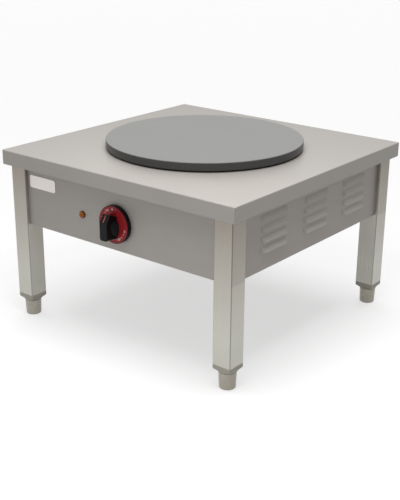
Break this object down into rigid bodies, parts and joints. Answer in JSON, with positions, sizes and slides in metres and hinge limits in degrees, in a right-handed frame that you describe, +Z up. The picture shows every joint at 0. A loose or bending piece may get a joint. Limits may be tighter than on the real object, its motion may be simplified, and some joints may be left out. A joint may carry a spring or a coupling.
{
  "type": "electric crepe maker",
  "caption": "Free-standing stainless crepe maker: round cast-iron griddle plate on a folded square top, four square legs on screw feet, knob and lamp in front, louvred sides.",
  "frame": {"origin": "on the floor, under the middle of the table", "axes": "+Z up, +X to the right along the front, the knob faces -Y"},
  "size_m": [0.58, 0.5992, 0.375],
  "materials": {
    "top_steel": "brushed stainless sheet, satin",
    "panel_steel": "brushed stainless sheet, satin",
    "leg_steel": "bright rolled stainless tube",
    "foot_plastic": "moulded grey plastic, semi-matt",
    "plate_iron": "machined cast iron, fine turned face",
    "gasket_fibre": "woven glass tape, dark",
    "fastener_steel": "plated steel",
    "element_sheath": "heat-stained alloy sheath",
    "ceramic": "unglazed steatite",
    "tray_steel": "plain steel sheet",
    "insulation_board": "ceramic fibre board",
    "thermostat_case": "moulded black plastic",
    "copper": "bare copper tube",
    "brass": "turned brass",
    "knob_black": "black thermoset moulding, satin",
    "dial_red": "red printed ring",
    "lamp_amber": "amber moulded lens",
    "lamp_case": "dark brown moulding",
    "label_white": "blank off-white plate",
    "gland_plastic": "black polyamide",
    "gland_rubber": "black rubber",
    "wire_brown": "glass-sleeved lead",
    "wire_blue": "glass-sleeved lead",
    "wire_green": "glass-sleeved lead",
    "wire_white": "thin silicone leads"
  },
  "bodies": {
    "housing": {"top_sheet": "top_steel", "front_panel": "panel_steel", "rear_panel": "panel_steel", "left_panel": "panel_steel", "right_panel": "panel_steel", "bottom_cover": "panel_steel", "leg_front_left": "leg_steel", "leg_front_right": "leg_steel", "leg_rear_left": "leg_steel", "leg_rear_right": "leg_steel", "leg_insert_front_left": "foot_plastic", "leg_insert_front_right": "foot_plastic", "leg_insert_rear_left": "foot_plastic", "leg_insert_rear_right": "foot_plastic", "griddle_plate": "plate_iron", "plate_gasket": "gasket_fibre", "plate_studs": "fastener_steel", "plate_nuts": "fastener_steel", "bulb_clip": "fastener_steel", "bulb_clip_screws": "fastener_steel", "panel_screws": "fastener_steel", "bottom_cover_screws": "fastener_steel", "thermostat_screws": "fastener_steel", "terminal_block_screws": "fastener_steel", "lamp_nut": "fastener_steel", "heating_element": "element_sheath", "thermostat_bulb": "element_sheath", "element_terminals": "ceramic", "terminal_block": "ceramic", "element_clamp_plate": "tray_steel", "heater_tray": "tray_steel", "insulation_disc": "insulation_board", "thermostat_body": "thermostat_case", "thermostat_capillary": "copper", "terminal_barrels": "brass", "earth_stud": "brass", "earth_nuts": "brass", "lamp_lens": "lamp_amber", "lamp_body": "lamp_case", "label_plate": "label_white", "gland_body": "gland_plastic", "gland_dome_nut": "gland_plastic", "gland_locknut": "gland_plastic", "gland_seal": "gland_rubber", "line_wire": "wire_brown", "switched_wire": "wire_brown", "neutral_wire": "wire_blue", "earth_wire": "wire_green", "lamp_wires": "wire_white"},
    "knob": {"knob_body": "knob_black", "knob_dial": "dial_red", "knob_pointer": "dial_red", "knob_bush": "brass", "thermostat_shaft": "tray_steel"},
    "front_left_foot": {"foot_front_left": "foot_plastic"},
    "front_right_foot": {"foot_front_right": "foot_plastic"},
    "rear_left_foot": {"foot_rear_left": "foot_plastic"},
    "rear_right_foot": {"foot_rear_right": "foot_plastic"}
  },
  "joints": [
    {"name": "knob_turn", "type": "hinge", "parent": "housing", "child": "knob", "pos_m": [0.0037, -0.267, 0.26], "axis": [0, 1, 0], "range_deg": [0, 300]},
    {"name": "front_left_foot_screw", "type": "slide", "parent": "housing", "child": "front_left_foot", "axis": [0, 0, -1], "range_m": [0, 0.02]},
    {"name": "front_right_foot_screw", "type": "slide", "parent": "housing", "child": "front_right_foot", "axis": [0, 0, -1], "range_m": [0, 0.02]},
    {"name": "rear_left_foot_screw", "type": "slide", "parent": "housing", "child": "rear_left_foot", "axis": [0, 0, -1], "range_m": [0, 0.02]},
    {"name": "rear_right_foot_screw", "type": "slide", "parent": "housing", "child": "rear_right_foot", "axis": [0, 0, -1], "range_m": [0, 0.02]}
  ]
}
